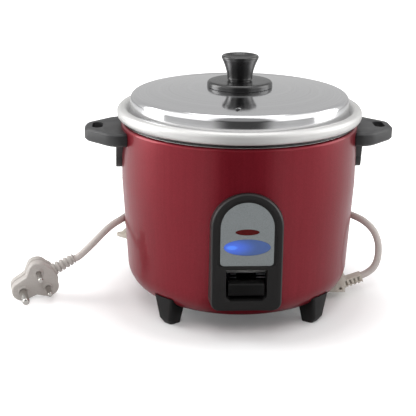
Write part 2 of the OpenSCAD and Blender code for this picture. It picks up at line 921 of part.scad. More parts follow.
module switch_paddle() {
    color([0.05, 0.05, 0.05])
        difference() {
            translate([-paddle_w / 2, 0, 0])
                rotate([90, 0, 90])
                    linear_extrude(paddle_w)
                        polygon([
                            [-paddle_back, lever_low_z - 1.7], [-paddle_front + 1, paddle_low_z],
                            [-paddle_front, paddle_low_z + 1], [-paddle_front, paddle_top_z - 1.2],
                            [-paddle_front + 1.2, paddle_top_z], [-paddle_front + 9, paddle_top_z + 0.5],
                            [-paddle_back, paddle_top_z - 3]
                        ]);
            translate([-lever_w / 2 - 0.1, -paddle_back - 6.1, lever_low_z - 0.1])
                cube([lever_w + 0.2, 20, lever_t + 0.2]);
        }
}

/* ---- Thermostat ---- */

module sensor_bracket() {
    color([0.74, 0.74, 0.76])
        difference() {
            union() {
                translate([0, 0, cup_floor_z])
                    cylinder(r = cup_r + cup_wall, h = plate_low - cup_floor_z);
                for (a = [60, 240])
                    rotate([0, 0, a])
                        translate([0, -5, plate_low - 1.5])
                            cube([cup_r + 11, 10, 1.5]);
            }
            translate([0, 0, cup_floor_z + 1.2])
                cylinder(r = cup_r, h = 30);
            translate([0, 0, cup_floor_z - over])
                cylinder(r = rod_r + 1.5, h = 4);
            around([60, 240])
                translate([cup_r + 6, 0, plate_low - 4])
                    cylinder(r = 1.4, h = 8);
        }
}

module sensor_cap() {
    color([0.8, 0.81, 0.82])
        translate([0, 0, sensor_z])
            difference() {
                cylinder(r = sensor_r, h = sensor_h);
                translate([0, 0, -over])
                    cylinder(r = sensor_r - sensor_skirt, h = sensor_h - 1 + over);
            }
}

module sensor_ferrite() {
    color([0.2, 0.2, 0.21])
        translate([0, 0, ferrite_z])
            cylinder(r = magnet_r, h = plate_top_z - 1 - ferrite_z);
}

module sensor_spring() {
    low = cup_floor_z + 1.2 + seat + spring_wire / 2;
    high = sensor_z - seat - spring_wire / 2;
    steps = 12;
    count = spring_turns * steps;
    route = [for (i = [0:count])
        [spring_r * cos(360 * i / steps), spring_r * sin(360 * i / steps), low + (high - low) * i / count]];
    color([0.75, 0.75, 0.78])
        sweep(route, spring_wire, 6, [0, 0, 1]);
}

module magnet() {
    color([0.18, 0.18, 0.2])
        translate([0, 0, magnet_z])
            cylinder(r = magnet_r, h = magnet_h);
}

module magnet_rod() {
    color([0.8, 0.8, 0.82]) {
        translate([0, 0, rod_low_z])
            cylinder(r = rod_r, h = magnet_z - rod_low_z);
        for (z = [lever_low_z - fork_gap - collar_h, lever_low_z + lever_t + fork_gap])
            translate([0, 0, z])
                cylinder(r = collar_r, h = collar_h);
    }
}

/* ---- Small parts inside ---- */

module thermal_fuse() {
    color([0.8, 0.75, 0.6]) {
        translate([36, 20, plate_low - 2.6])
            rotate([0, 90, 30])
                cylinder(r = 2.5, h = 16, center = true, $fn = fine);
        translate([36, 20, plate_low - 1.3])
            rotate([0, 0, 30])
                cube([6, 9, 2.6], center = true);
    }
}

module warm_thermostat() {
    color([0.75, 0.7, 0.6]) {
        translate([-38, 10, plate_low - 8])
            cylinder(r = 7.5, h = 8);
        for (side = [-1, 1])
            translate([-38 + side * 4 - 1, 9, plate_low - 15])
                cube([2, 2, 7.5]);
    }
}

module terminal_block() {
    color([0.85, 0.85, 0.82])
        difference() {
            translate([50, -15, floor_z - shell_wall])
                cube([14, 30, 12]);
            for (y = [-9, 0, 9])
                translate([57, y, floor_z + 4])
                    cylinder(r = 2.4, h = 20, $fn = fine);
        }
}

/* ---- Pan ---- */

module inner_pan() {
    in_r = pan_r - pan_wall;
    flare_z = rim_bead_z - 12.3;
    color([0.8, 0.8, 0.79])
        rotate_extrude()
            polygon(concat(
                [[0, pan_bottom_z]],
                arc(pan_r - pan_corner_r, pan_bottom_z + pan_corner_r, pan_corner_r, -90, 0, 8),
                [[pan_r, flare_z], [pan_r + 3.4, flare_z + 6.2], [rim_bead_at - 3.6, rim_bead_z - 4.2]],
                arc(rim_bead_at, rim_bead_z - rim_drop, rim_bead_r, -100, 0, 6),
                arc(rim_bead_at, rim_bead_z, rim_bead_r, 0, 150, 9),
                [[rim_bead_at - 5.2, rim_bead_z - 1.4], [pan_r + 2.4, flare_z + 7.8], [in_r, flare_z + 0.9]],
                arc(pan_r - pan_corner_r, pan_bottom_z + pan_corner_r, pan_corner_r - pan_wall, 0, -90, 8),
                [[0, pan_bottom_z + pan_wall]]
            ));
}

/* ---- Lid ---- */

// Height of the lid's dome at a radius.
function dome_z(r) = lid_top_z - lid_dome * pow(r / lid_top_r, 2);

module lid_plate() {
    steps = 6;
    outer = concat(
        [for (i = [0:steps]) [lid_top_r * i / steps, dome_z(lid_top_r * i / steps)]],
        [[lid_top_r + 2.6, lid_edge_z - 2.4], [lid_top_r + 4.6, lid_edge_z - 6], [lid_top_r + 5.2, lid_flange_z + 2]],
        [[lid_r, lid_flange_z + 1]]
    );
    inner = concat(
        [[lid_r, lid_flange_z + 1 - lid_wall], [lid_top_r + 5.2 - lid_wall, lid_flange_z + 1]],
        [[lid_top_r + 4.6 - lid_wall, lid_edge_z - 6.2], [lid_top_r + 2 - lid_wall, lid_edge_z - 2.8]],
        [for (i = [steps:-1:0]) [(lid_top_r - 1) * i / steps, dome_z(lid_top_r * i / steps) - lid_wall]]
    );
    color([0.8, 0.8, 0.82])
        difference() {
            rotate_extrude()
                polygon(concat(outer, inner));
            translate([0, 0, lid_top_z - 20])
                cylinder(r = knob_screw_r + 0.3, h = 40);
            translate([-3, -steam_hole_at, lid_top_z - 20])
                cylinder(r = steam_hole_r, h = 40);
        }
}

module knob_base() {
    color([0.07, 0.07, 0.08])
        difference() {
            rotate_extrude()
                polygon(concat(
                    [[0, knob_base_z], [knob_base_r - 5, knob_base_z]],
                    [[knob_base_r - 1, knob_base_z + 1]],
                    arc(knob_base_r - 3.5, knob_base_z + knob_base_h - 3.5, 3.5, 0, 78, 6),
                    [[knob_neck_r + 1, knob_base_z + knob_base_h], [0, knob_base_z + knob_base_h]]
                ));
            translate([0, 0, knob_base_z - over])
                cylinder(r = knob_screw_r + 0.3, h = knob_base_h + 2 * over);
        }
}

module knob_grip() {
    grip_side = [for (i = [0:8])
        let (t = i / 8) [knob_neck_r + (knob_top_r - knob_neck_r) * pow(t, 1.7), knob_grip_z + 1.6 + (knob_grip_h - 4) * t]];
    color([0.07, 0.07, 0.08])
        difference() {
            rotate_extrude()
                polygon(concat(
                    [[0, knob_grip_z], [knob_neck_r - 1, knob_grip_z], [knob_neck_r - 1, knob_grip_z + 1.2]],
                    grip_side,
                    arc(knob_top_r - 1.6, knob_top_z - 1.6, 1.6, 0, 110, 5),
                    [[knob_top_r - 5, knob_top_z - 1.8], [0, knob_top_z - 3.2]]
                ));
            translate([0, 0, knob_grip_z - over])
                cylinder(r = knob_screw_r, h = 12 + over);
        }
}

module knob_washer() {
    color([0.75, 0.75, 0.77])
        translate([0, 0, lid_top_z - lid_wall - 1.2])
            difference() {
                cylinder(r = 7, h = 1);
                translate([0, 0, -over])
                    cylinder(r = knob_screw_r + 0.3, h = 4);
            }
}

module knob_screw() {
    color([0.75, 0.75, 0.77])
        translate([0, 0, lid_top_z - lid_wall - 1.2])
            mirror([0, 0, 1])
                screw(knob_screw_r - 0.05, knob_base_h + 12);
}

/* ---- Cord hook and gland ---- */

module at_hook_screw() {
    rotate([0, 0, hook_angle])
        translate([shell_r_at(hook_shelf_z + 6) - shell_wall - 0.25, 0, hook_shelf_z + 6])
            rotate([0, -90, 0])
                children();
}

module cord_hook() {
    shelf_out = shell_low_r + 16;
    rest_out = shell_low_r + 11;
    color([0.72, 0.7, 0.66])
        difference() {
            rotate([0, 0, hook_angle]) {
                hull() {
                    translate([shelf_out - 5, 0, hook_shelf_z])
                        cylinder(r = 5, h = 2.6, $fn = fine);
                    translate([shell_low_r - 6, -13, hook_shelf_z])
                        cube([2, 26, 3.4]);
                }
                translate([0, 2, 0])
                    rotate([90, 0, 0])
                        linear_extrude(4)
                            polygon([
                                [shell_low_r - 4, hook_shelf_z], [shelf_out - 3, hook_shelf_z + 2],
                                [shell_low_r + 7, hook_shelf_z + 8], [shell_low_r - 4, hook_shelf_z + 9]
                            ]);
                translate([0, -10, 0])
                    rotate([90, 0, 0])
                        linear_extrude(4)
                            polygon([
                                [shell_low_r - 4, hook_shelf_z], [shell_low_r + 8, hook_shelf_z + 3],
                                [rest_out, hook_top_z - 1], [rest_out - 1, hook_top_z], [shell_low_r - 4, hook_top_z]
                            ]);
                translate([shell_low_r - 4, -14, hook_shelf_z])
                    cube([8, 23, hook_top_z - hook_shelf_z - 3]);
            }
            shell_form();
            at_hook_screw()
                cylinder(r = 1.25, h = 16, center = true, $fn = fine);
        }
}

module hook_screw() {
    color([0.7, 0.7, 0.72])
        at_hook_screw()
            screw(1.2, 4);
}

module cord_gland() {
    color([0.74, 0.72, 0.68])
        difference() {
            union() {
                translate([gland_out - 20, -gland_w / 2, gland_low_z])
                    cube([20, gland_w, gland_h]);
                translate([gland_out - 19.5, -5.5, gland_low_z + 4])
                    cube([7, 11, 20]);
            }
            difference() {
                shell_form();
                translate([gland_out - 19.6, -5.6, shell_bottom_z - over])
                    cube([7.2, 11.2, 12]);
            }
            translate([gland_out - 4.5, 0, gland_low_z + 3.5])
                rotate([90, 0, 0])
                    cylinder(r = 1.3, h = gland_w + 2 * over, center = true, $fn = fine);
        }
}

module gland_screw() {
    color([0.3, 0.3, 0.3])
        translate([gland_out - 4.5, gland_w / 2, gland_low_z + 3.5])
            rotate([-90, 0, 0])
                screw(1.2, 14);
}

// The strain relief: a slotted block that rises from the gland's face.
module cord_relief() {
    slot_pitch = 4.2;
    color([0.73, 0.71, 0.67])
        difference() {
            translate(relief_from)
                rotate([0, -relief_rise, 0])
                    difference() {
                        translate([-3, -relief_w / 2, -relief_h / 2])
                            cube([relief_l + 3, relief_w, relief_h]);
                        for (i = [0:3])
                            for (side = [-1, 1]) {
                                translate([2.6 + i * slot_pitch, side * relief_w / 2, -1])
                                    cube([1.6, 3.2, relief_h - 3], center = true);
                                translate([4.4 + i * slot_pitch, 0, side * relief_h / 2])
                                    cube([1.6, relief_w - 4, 2.4], center = true);
                            }
                    }
            translate([gland_out - 40, -relief_w, 0])
                cube([40, 2 * relief_w, 60]);
        }
}

/* ---- Lead and plug ---- */

module cord_inlet_run() {
    color([0.73, 0.69, 0.67])
        sweep(inlet_route, cord_d, 10, [0, 1, 0]);
}

module cord_plug_run() {
    color([0.73, 0.69, 0.67])
        difference() {
            sweep(plug_route, cord_d, 10, [0, 0, 1]);
            translate(coil_at)
                cylinder(r = coil_r + cord_d / 2, h = coil_h + cord_d);
        }
}

module cord_coil() {
    soft = 3;
    color([0.73, 0.69, 0.67])
        translate(coil_at)
            rotate_extrude()
                polygon(concat(
                    arc(coil_r + cord_d / 2 - soft, soft, soft, -90, 0, 3),
                    arc(coil_r + cord_d / 2 - soft, coil_h - soft, soft, 0, 90, 3),
                    arc(coil_r - cord_d / 2 + soft, coil_h - soft, soft, 90, 180, 3),
                    arc(coil_r - cord_d / 2 + soft, soft, soft, 180, 270, 3)
                ));
}

module coil_tie() {
    gap = 0.2;
    band = 1;
    w = cord_d / 2 + gap;
    color([0.1, 0.1, 0.1])
        translate(coil_at + [0, coil_r, 0])
            rotate([90, 0, 90])
                linear_extrude(5, center = true)
                    difference() {
                        translate([-w - band, 0])
                            square([2 * (w + band), coil_h + gap + band]);
                        translate([-w, -over])
                            square([2 * w, coil_h + gap + over]);
                    }
}

// Places the plug at its lead's end, on the floor: its pins face forwards.
module at_plug() {
    translate(plug_route[0])
        rotate([plug_pitch, 0, plug_yaw])
            rotate([0, plug_roll, 0])
                translate([-(plug_relief_from + plug_relief_l), -plug_t / 2, 0])
                    children();
}

module plug_outline(r) {
    for (p = pin_places)
        translate(p)
            circle(r = r, $fn = fine);
    polygon([
        [r - 1, line_pitch / 2 + 3], [r + plug_bulge, 6], [r + plug_bulge, -6], [r - 1, -line_pitch / 2 - 3], [0, -line_pitch / 2 - r + 1.5], [-8, -line_pitch / 2 - r + 4.5],
        [-earth_pitch + 1, -r + 0.6], [-earth_pitch + 1, r - 0.6], [-8, line_pitch / 2 + r - 4.5], [0, line_pitch / 2 + r - 1.5]
    ]);
}

module plug_body() {
    color([0.72, 0.7, 0.67])
        at_plug()
            difference() {
                rotate([90, 0, 0])
                    union() {
                        translate([0, 0, -plug_t / 2 + 1])
                            linear_extrude(plug_t / 2 - 1)
                                plug_outline(plug_lobe_r);
                        translate([0, 0, -plug_t / 2 - 1.5])
                            linear_extrude(3)
                                plug_outline(plug_lobe_r - 1.2);
                        translate([0, 0, -plug_t])
                            linear_extrude(plug_t / 2 - 1)
                                plug_outline(plug_lobe_r - 0.3);
                    }
                for (p = pin_places)
                    translate([p[0], -over, p[1]])
                        rotate([-90, 0, 0])
                            cylinder(r = (p[0] < 0 ? earth_pin_r : line_pin_r) - pin_step, h = pin_shank_l + over);
            }
}

module plug_relief() {
    color([0.72, 0.7, 0.67])
        at_plug()
            translate([plug_relief_from, plug_t / 2, 0])
                rotate([0, 90, 0]) {
                    cylinder(r = 4.2, h = plug_relief_l);
                    for (i = [0:3])
                        translate([0, 0, 1.5 + i * 5.2])
                            cylinder(r = 5.6 - 0.2 * i, h = 3.4);
                }
}

// A pin with a thinner shank inside the plug and a chamfered tip.
module pin(r, length, place) {
    translate([place[0], 0, place[1]])
        rotate([90, 0, 0]) {
            translate([0, 0, -pin_shank_l])
                cylinder(r = r - pin_step, h = pin_shank_l);
            cylinder(r = r, h = length - r / 2);
            translate([0, 0, length - r / 2])
                cylinder(r1 = r, r2 = r / 2, h = r / 2);
        }
}

module earth_pin() {
    color([0.8, 0.78, 0.75])
        at_plug()
            pin(earth_pin_r, earth_pin_l, pin_places[2]);
}

module line_pins() {
    color([0.8, 0.78, 0.75])
        at_plug() {
            pin(line_pin_r, line_pin_l, pin_places[0]);
            pin(line_pin_r, line_pin_l, pin_places[1]);
        }
}

outer_shell();
body_ring();
inner_liner();
heating_plate();
heater_element();
plate_posts();
post_screws();
bottom_plate();
bottom_screws();
foot(225);  // foot_front_left
foot(315);  // foot_front_right
foot(135);  // foot_rear_left
foot(45);  // foot_rear_right
foot_screws();
rotate([0, 0, 180]) handle();  // handle_left
handle();  // handle_right
handle_screws();
panel_frame();
panel_screws();
panel_plate();
red_lens();
blue_lens();
lamp_board();
cooking_lamp();
warm_lamp();
lever_bracket();
pivot_pin();
microswitch();
lever_bar();
switch_paddle();
sensor_bracket();
sensor_cap();
sensor_ferrite();
sensor_spring();
magnet();
magnet_rod();
thermal_fuse();
warm_thermostat();
terminal_block();
inner_pan();
lid_plate();
knob_base();
knob_grip();
knob_screw();
knob_washer();
cord_hook();
hook_screw();
cord_gland();
gland_screw();
cord_relief();
cord_inlet_run();
cord_coil();
cord_plug_run();
coil_tie();
plug_body();
plug_relief();
earth_pin();
line_pins();
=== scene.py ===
"""Looks of the rice cooker, on the fixed frame of its CAD part.

Lengths are in millimetres and are turned into metres by MM. The camera, the floor, the lights and the
distances in the finishes' patterns are in metres.
"""
import math
import bmesh
import bpy
from mathutils import Matrix, Vector


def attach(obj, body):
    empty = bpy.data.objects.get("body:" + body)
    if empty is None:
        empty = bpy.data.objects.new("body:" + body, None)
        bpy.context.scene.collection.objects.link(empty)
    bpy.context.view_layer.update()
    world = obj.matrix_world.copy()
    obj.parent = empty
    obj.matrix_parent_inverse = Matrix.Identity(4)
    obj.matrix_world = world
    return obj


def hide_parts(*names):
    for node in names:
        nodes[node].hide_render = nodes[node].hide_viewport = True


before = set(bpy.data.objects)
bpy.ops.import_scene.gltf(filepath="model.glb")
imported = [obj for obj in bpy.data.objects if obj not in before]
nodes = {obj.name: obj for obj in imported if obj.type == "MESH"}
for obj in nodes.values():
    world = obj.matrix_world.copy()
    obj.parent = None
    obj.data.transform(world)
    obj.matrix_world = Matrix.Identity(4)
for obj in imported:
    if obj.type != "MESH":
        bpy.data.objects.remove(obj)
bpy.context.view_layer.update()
MM = 0.001
MERGE = 2e-6        # metres between points that become one
FRONT_ON = Matrix.Rotation(math.radians(90), 4, "X")        # stands a flat outline up, seen from the front


# ---- bench tools ----

def arc(x, y, r, start, end, n):
    """Points on a circle's arc, with its angles in degrees."""
    turns = [math.radians(start + (end - start) * i / n) for i in range(n + 1)]
    return [(x + r * math.cos(a), y + r * math.sin(a)) for a in turns]


def clear_selection():
    """Leaves edit mode and deselects everything."""
    if bpy.context.object and bpy.context.object.mode != "OBJECT":
        bpy.ops.object.mode_set(mode="OBJECT")
    bpy.ops.object.select_all(action="DESELECT")


def draw_line(name, points):
    """Extrudes one vertex from point to point, and leaves the new piece in edit mode."""
    clear_selection()
    bpy.ops.mesh.primitive_plane_add(size=MM, location=(0, 0, 0))
    piece = bpy.context.object
    piece.name = name
    bpy.ops.object.mode_set(mode="EDIT")
    bpy.ops.mesh.select_mode(type="VERT")
    bpy.ops.mesh.select_all(action="SELECT")
    bpy.ops.mesh.merge(type="CENTER")
    bpy.ops.mesh.select_all(action="SELECT")
    places = [Vector(p) * MM for p in points]
    bpy.ops.transform.translate(value=places[0])
    for before, after in zip(places, places[1:]):
        bpy.ops.mesh.extrude_vertices_move(TRANSFORM_OT_translate={"value": after - before})
    bpy.ops.mesh.select_all(action="SELECT")
    return piece


def close_up(piece, angle=32, place=None):
    """Merges doubles, turns the faces outwards, smooths the shading and settles the piece in its place."""
    bpy.ops.mesh.select_all(action="SELECT")
    bpy.ops.mesh.remove_doubles(threshold=MERGE)
    bpy.ops.mesh.select_all(action="SELECT")
    bpy.ops.mesh.normals_make_consistent(inside=False)
    bpy.ops.object.mode_set(mode="OBJECT")
    if place is not None:
        piece.matrix_world = place
        bpy.ops.object.transform_apply(location=True, rotation=True, scale=True)
    bpy.ops.object.shade_smooth_by_angle(angle=math.radians(angle))
    return piece


def turned(name, outline, steps=144, angle=32, place=None):
    """A piece spun round the upright axis from an outline of (radius, height)."""
    piece = draw_line(name, [(r, 0, z) for r, z in outline])
    bpy.ops.mesh.spin(steps=steps, angle=2 * math.pi, center=(0, 0, 0), axis=(0, 0, 1))
    return close_up(piece, angle, place)


def select_edges(piece, test):
    """Selects the edges whose two ends pass the test, which is given millimetres."""
    bpy.ops.mesh.select_mode(type="EDGE")
    bpy.ops.mesh.select_all(action="DESELECT")
    mesh = bmesh.from_edit_mesh(piece.data)
    for edge in mesh.edges:
        edge.select = all(test(v.co / MM) for v in edge.verts)
    mesh.select_flush_mode()
    bmesh.update_edit_mesh(piece.data)


def slab(name, outline, low, high, edge=0.0, segments=3, place=None, ends=(True, True)):
    """A flat outline, extruded from low to high, with its two rims bevelled."""
    piece = draw_line(name, [(x, y, low) for x, y in outline + outline[:1]])
    bpy.ops.mesh.remove_doubles(threshold=MERGE)
    bpy.ops.mesh.select_all(action="SELECT")
    bpy.ops.mesh.edge_face_add()
    bpy.ops.mesh.extrude_region_move(TRANSFORM_OT_translate={"value": (0, 0, (high - low) * MM)})
    bpy.ops.mesh.select_all(action="SELECT")
    bpy.ops.mesh.normals_make_consistent(inside=False)
    if edge:
        levels = [z for z, wanted in zip((low, high), ends) if wanted]
        for level in levels:
            select_edges(piece, lambda v: abs(v.z - level) < 0.001)
            bpy.ops.mesh.bevel(offset=edge * MM, segments=segments, affect="EDGES", clamp_overlap=True)
    return close_up(piece, place=place)


def with_modifier(piece, kind, **settings):
    """Adds a modifier to the piece and applies it."""
    clear_selection()
    piece.select_set(True)
    bpy.context.view_layer.objects.active = piece
    step = piece.modifiers.new(kind.lower(), kind)
    for key, value in settings.items():
        setattr(step, key, value)
    bpy.ops.object.modifier_apply(modifier=step.name)
    return piece


def cut(piece, cutter):
    """Takes the cutter's shape out of the piece and removes the cutter."""
    with_modifier(piece, "BOOLEAN", operation="DIFFERENCE", solver="EXACT", object=cutter)
    bpy.data.objects.remove(cutter)
    return piece


def softened(name, node, width, segments=2):
    """A moulded piece with the solid's shape, its flat faces made whole and its edges rounded."""
    flat_within, rounded_from, smooth_within = (math.radians(angle) for angle in (1.5, 34, 40))
    merge = 5e-6
    clear_selection()
    piece = nodes[node].copy()
    piece.data = nodes[node].data.copy()
    for key in list(piece.keys()):
        del piece[key]
    piece.parent = None
    piece.name = name
    bpy.context.scene.collection.objects.link(piece)
    piece.select_set(True)
    bpy.context.view_layer.objects.active = piece
    bpy.ops.object.mode_set(mode="EDIT")
    bpy.ops.mesh.select_all(action="SELECT")
    bpy.ops.mesh.remove_doubles(threshold=merge)
    bpy.ops.mesh.select_all(action="SELECT")
    bpy.ops.mesh.dissolve_limited(angle_limit=flat_within)
    bpy.ops.object.mode_set(mode="OBJECT")
    with_modifier(piece, "BEVEL", width=width * MM, segments=segments, limit_method="ANGLE",
                  angle_limit=rounded_from, use_clamp_overlap=True, miter_outer="MITER_ARC")
    bpy.ops.object.shade_smooth_by_angle(angle=smooth_within)
    return piece


def joined(name, pieces):
    """Makes one piece of several."""
    clear_selection()
    for piece in pieces:
        piece.select_set(True)
    bpy.context.view_layer.objects.active = pieces[0]
    bpy.ops.object.join()
    pieces[0].name = name
    return pieces[0]


def fit(piece, body, finish, slot, *replaced):
    """Gives a piece its finish and its body, and hides the CAD nodes that it stands for. The slot is not
    used.
    """
    piece.data.materials.clear()
    piece.data.materials.append(finish)
    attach(piece, body)
    if replaced:
        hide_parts(*replaced)
    return piece


# ---- camera ----

CAMERA_PLACE = (-0.0809, -0.9971, 0.412)
CAMERA_LENS = 93.55
CAMERA_RISE, CAMERA_HEADING, CAMERA_ROLL = (math.radians(angle) for angle in (72.15, -3.0, 0.55))

camera_data = bpy.data.cameras.new("studio_camera")
camera_data.sensor_width = 36
camera_data.lens = CAMERA_LENS
camera = bpy.data.objects.new("studio_camera", camera_data)
bpy.context.scene.collection.objects.link(camera)
camera.matrix_world = (Matrix.Translation(CAMERA_PLACE) @ Matrix.Rotation(CAMERA_HEADING, 4, "Z")
                       @ Matrix.Rotation(CAMERA_RISE, 4, "X") @ Matrix.Rotation(CAMERA_ROLL, 4, "Z"))
bpy.context.scene.camera = camera


# ---- finishes ----

UPPER_LENS = (21, 5.4, 104.8)       # width, height and the middle's place above the floor
LOWER_LENS = (41, 15, 90.8)


def add(tree, kind, **inputs):
    """Adds a node. An input goes by its name, or by its number as i0, and is a value or a node's output."""
    made = tree.nodes.new("ShaderNode" + kind)
    for key, value in inputs.items():
        numbered = key[0] == "i" and key[1:].isdigit()
        socket = made.inputs[int(key[1:]) if numbered else key.replace("_", " ")]
        if isinstance(value, bpy.types.NodeSocket):
            tree.links.new(value, socket)
        else:
            socket.default_value = value
    return made


def worked(tree, kind, operation, **inputs):
    """Adds a maths node that does one operation."""
    made = add(tree, kind, **inputs)
    made.operation = operation
    return made


def ranged(tree, value, start, end, low, high, smooth=False):
    """Turns a value from start to end into one from low to high."""
    made = add(tree, "MapRange", i0=value, i1=start, i2=end, i3=low, i4=high)
    if smooth:
        made.interpolation_type = "SMOOTHSTEP"
    return made.outputs[0]


def shade_of(colour, factor):
    """A colour made lighter or darker, with its alpha."""
    return tuple(min(1.0, c * factor) for c in colour) + (1.0,)


def mixed(tree, factor, first, second):
    """A colour between two, each of which is a value or a node's output."""
    made = tree.nodes.new("ShaderNodeMix")
    made.data_type = "RGBA"
    tree.links.new(factor, made.inputs[0])
    for socket, colour in ((made.inputs[6], first), (made.inputs[7], second)):
        if isinstance(colour, bpy.types.NodeSocket):
            tree.links.new(colour, socket)
        else:
            socket.default_value = colour
    return made.outputs[2]


def new_finish(name, metallic, extras):
    """A new material, with its node tree and its shader."""
    finish = bpy.data.materials.new(name)
    finish.use_nodes = True
    tree = finish.node_tree
    shader = tree.nodes["Principled BSDF"]
    shader.inputs["Metallic"].default_value = metallic
    for key, value in extras.items():
        shader.inputs[key].default_value = value
    return finish, tree, shader


def spun_place(tree):
    """A pattern place made of the radius and the height, for lines that run round a turned piece."""
    place = add(tree, "TexCoord").outputs["Object"]
    flat = worked(tree, "VectorMath", "MULTIPLY", i0=place, i1=(1, 1, 0))
    length = worked(tree, "VectorMath", "LENGTH", i0=flat.outputs[0])
    parts = add(tree, "SeparateXYZ", i0=place)
    return add(tree, "CombineXYZ", i0=length.outputs["Value"], i2=parts.outputs[2]).outputs[0]


def finish_of(name, colour, roughness, metallic=0.0, grain=1500, shade=0.1, uneven=0.05, relief=0.03,
              spun=False, **extras):
    """A finish with a fine grain in its colour and surface, and slow variation in its gloss."""
    extras = {key.replace("_", " "): value for key, value in extras.items()}
    finish, tree, shader = new_finish(name, metallic, extras)
    place = spun_place(tree) if spun else add(tree, "TexCoord").outputs["Object"]
    fine = add(tree, "TexNoise", Vector=place, Scale=grain, Detail=3.0).outputs[0]
    fine_part = ranged(tree, fine, 0.3, 0.7, 0.0, 1.0)
    tone = mixed(tree, fine_part, shade_of(colour, 1 - shade), shade_of(colour, 1 + shade))
    tree.links.new(tone, shader.inputs["Base Color"])
    whole = add(tree, "TexCoord").outputs["Object"]
    slow = add(tree, "TexNoise", Vector=whole, Scale=45.0, Detail=2.0).outputs[0]
    gloss = ranged(tree, slow, 0.3, 0.7, roughness - uneven, roughness + uneven)
    tree.links.new(gloss, shader.inputs["Roughness"])
    bump = add(tree, "Bump", Strength=0.6, Distance=relief * MM, Height=fine)
    tree.links.new(bump.outputs[0], shader.inputs["Normal"])
    return finish


def lacquer():
    """Metallic red lacquer: fine flakes under a clear coat, with a faint upright brushing."""
    finish, tree, shader = new_finish("red_lacquer", 0.55, {
        "Specular IOR Level": 0.1, "Coat Weight": 0.38, "Coat Roughness": 0.1, "Coat IOR": 1.5})
    place = add(tree, "TexCoord").outputs["Object"]
    upright = add(tree, "Mapping", Vector=place, Scale=(1, 1, 0.02)).outputs[0]
    brushed = add(tree, "TexNoise", Vector=upright, Scale=420.0, Detail=4.0).outputs[0]
    flakes = add(tree, "TexVoronoi", Vector=place, Scale=2600.0).outputs["Color"]
    flake_part = add(tree, "SeparateXYZ", i0=flakes).outputs[0]
    both = worked(tree, "Math", "ADD", i0=brushed, i1=flake_part)
    level = ranged(tree, both.outputs[0], 0.45, 1.5, 0.0, 1.0)
    tone = mixed(tree, level, (0.158, 0.0055, 0.0122, 1), (0.214, 0.0105, 0.0208, 1))
    tree.links.new(tone, shader.inputs["Base Color"])
    gloss = ranged(tree, brushed, 0.3, 0.7, 0.34, 0.42)
    tree.links.new(gloss, shader.inputs["Roughness"])
    bump = add(tree, "Bump", Strength=0.15, Distance=0.02 * MM, Height=brushed)
    tree.links.new(bump.outputs[0], shader.inputs["Normal"])
    return finish


def lit_lens():
    """Translucent blue lens with the lit lamp glowing behind its left part."""
    finish, tree, shader = new_finish("blue_lens_lit", 0.0, {
        "Roughness": 0.3, "Specular IOR Level": 0.3, "Emission Strength": 1.0})
    place = add(tree, "TexCoord").outputs["Object"]
    half = Vector((4.8, 1000.0, 2.0)) * MM
    centre = Vector((-13.5, 0.0, LOWER_LENS[2])) * MM
    scale = tuple(1 / h for h in half)
    shift = tuple(-c / h for c, h in zip(centre, half))
    near = add(tree, "Mapping", Vector=place, Scale=scale, Location=shift).outputs[0]
    away = worked(tree, "VectorMath", "LENGTH", i0=near).outputs["Value"]
    core = ranged(tree, away, 0.5, 1.35, 1.0, 0.0, smooth=True)
    halo = ranged(tree, away, 0.8, 5.0, 1.0, 0.08, smooth=True)
    glow = mixed(tree, halo, (0.004, 0.010, 0.035, 1), (0.018, 0.065, 0.50, 1))
    tree.links.new(mixed(tree, core, glow, (0.045, 0.18, 0.80, 1)), shader.inputs["Emission Color"])
    milky = add(tree, "TexNoise", Vector=place, Scale=260.0, Detail=2.0).outputs[0]
    tint = mixed(tree, milky, (0.058, 0.095, 0.21, 1), (0.072, 0.115, 0.24, 1))
    tree.links.new(tint, shader.inputs["Base Color"])
    return finish


RED = lacquer()
BLACK = finish_of("black_phenolic", (0.0065, 0.006, 0.0062), 0.30, grain=2600, relief=0.02, shade=0.15)
GLOSS_BLACK = finish_of("gloss_black", (0.0046, 0.0044, 0.0047), 0.27, grain=2600, relief=0.004, shade=0.1,
                        uneven=0.02, Specular_IOR_Level=0.6, Coat_Weight=0.2, Coat_Roughness=0.2)
DULL_BLACK = finish_of("dull_black", (0.0060, 0.0058, 0.0058), 0.42, grain=2400, relief=0.02, shade=0.15,
                       Specular_IOR_Level=0.22)
GREY = finish_of("dark_grey_moulding", (0.021, 0.021, 0.022), 0.42, grain=2200, relief=0.03, shade=0.15)
FRAME_GREY = finish_of("panel_moulding", (0.0160, 0.0152, 0.0152), 0.38, grain=2200, relief=0.02, shade=0.12,
                       Specular_IOR_Level=0.34)
STEEL = finish_of("polished_stainless", (0.70, 0.70, 0.71), 0.11, 1.0, grain=900, spun=True, shade=0.05,
                  uneven=0.03, relief=0.004)
SPUN = finish_of("spun_aluminium", (0.61, 0.605, 0.595), 0.48, 0.62, grain=1300, spun=True, shade=0.06,
                 uneven=0.04, relief=0.01)
CAST = finish_of("turned_casting", (0.60, 0.61, 0.62), 0.42, 1.0, grain=900, spun=True, shade=0.08,
                 relief=0.02)
ZINC = finish_of("zinc_plate", (0.56, 0.58, 0.60), 0.33, 1.0, grain=700, shade=0.1, relief=0.01)
SHEATH = finish_of("heater_sheath", (0.26, 0.25, 0.25), 0.5, 1.0, grain=900, shade=0.2)
SILVER = finish_of("silver_plate", (0.245, 0.266, 0.272), 0.38, 0.25, grain=3000, shade=0.22, uneven=0.03,
                   relief=0.01)
RED_GLASS = finish_of("dark_red_lens", (0.075, 0.004, 0.0045), 0.3, grain=700, shade=0.2, relief=0.0,
                      Specular_IOR_Level=0.2)
BLUE_GLASS = lit_lens()
BOARD = finish_of("board_laminate", (0.03, 0.14, 0.05), 0.5, grain=1200, shade=0.2)
